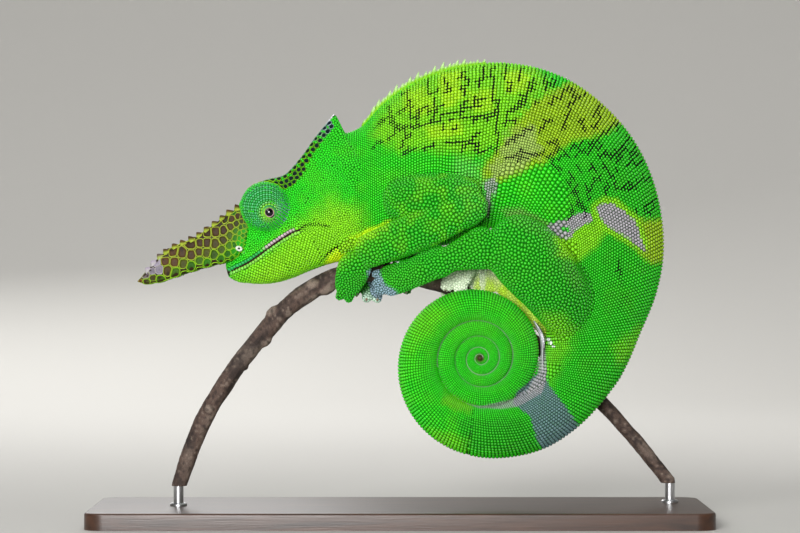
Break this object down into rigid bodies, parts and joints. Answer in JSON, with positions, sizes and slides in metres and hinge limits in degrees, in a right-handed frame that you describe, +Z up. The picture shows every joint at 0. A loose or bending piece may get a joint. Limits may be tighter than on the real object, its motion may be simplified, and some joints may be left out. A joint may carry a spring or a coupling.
{
  "type": "two-horned chameleon",
  "caption": "Life-size still model of a horned tree lizard with a coiled tail, gripping a cut length of arched branch on a flat stand.",
  "frame": {"origin": "middle of the underside of the stand's base, on the surface that it stands on", "axes": "+X along the animal, with its snout towards -X; +Y to the animal's right side, so the side in the picture faces -Y; +Z up"},
  "size_m": [0.184, 0.064, 0.139],
  "materials": {
    "skin": "satin, scaly",
    "lid": "satin, scaly",
    "horn": "satin horn",
    "eye": "wet gloss",
    "branch": "rough bark",
    "base": "dark satin",
    "rod": "brushed"
  },
  "bodies": {
    "root": {"casque": "skin", "eye_left": "eye", "eye_right": "eye", "foot_left_inner": "skin", "foot_left_outer": "skin", "foot_right_inner": "skin", "foot_right_outer": "skin", "forearm_left": "skin", "forearm_right": "skin", "hand_left_inner": "skin", "hand_left_outer": "skin", "hand_right_inner": "skin", "hand_right_outer": "skin", "head": "skin", "horn_left": "horn", "horn_right": "horn", "jaw": "skin", "neck": "skin", "perch_fall": "branch", "perch_foot": "branch", "perch_rise": "branch", "perch_top": "branch", "shin_left": "skin", "shin_right": "skin", "stand_base": "base", "stand_rod_back": "rod", "stand_rod_front": "rod", "tail_base": "skin", "tail_fifth": "skin", "tail_fourth": "skin", "tail_second": "skin", "tail_third": "skin", "tail_tip": "skin", "thigh_left": "skin", "thigh_right": "skin", "torso_front": "skin", "torso_middle": "skin", "torso_rear": "skin", "turret_left": "lid", "turret_right": "lid", "upper_arm_left": "skin", "upper_arm_right": "skin"}
  },
  "joints": []
}
